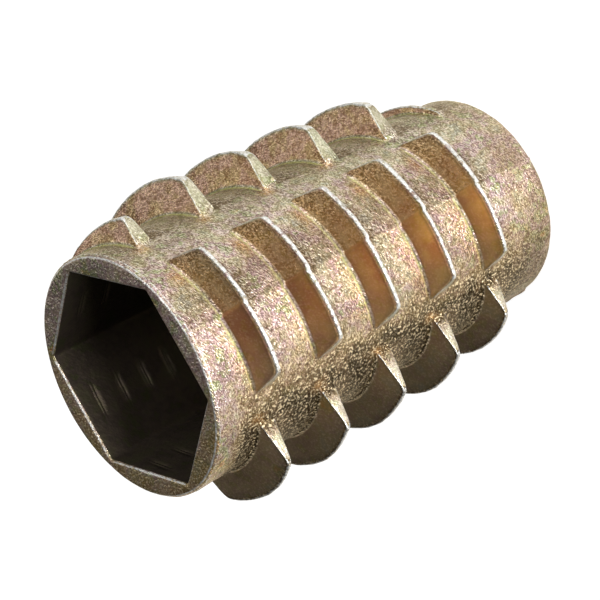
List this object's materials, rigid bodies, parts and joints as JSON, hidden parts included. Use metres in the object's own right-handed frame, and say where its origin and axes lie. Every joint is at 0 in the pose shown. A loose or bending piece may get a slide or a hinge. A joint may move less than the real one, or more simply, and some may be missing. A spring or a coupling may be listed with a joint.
{
  "type": "threaded insert",
  "caption": "Screw-in threaded insert for wood: a tapered die-cast barrel with a coarse interrupted knife thread outside, a hexagonal key socket and a through bore for a machine screw.",
  "frame": {"origin": "centre of the tip end face, which the insert stands on", "axes": "+Z along the barrel's axis from the tip to the key end; +X through the middle of the fins whose thread starts at the stated depth, so that the hexagon has flats facing +X and -X"},
  "size_m": [0.0128, 0.0128, 0.0196],
  "materials": {
    "chromated_zinc": "rough die-cast zinc with a thin yellow iridescent chromate film"
  },
  "bodies": {
    "root": {"insert": "chromated_zinc"}
  },
  "joints": []
}
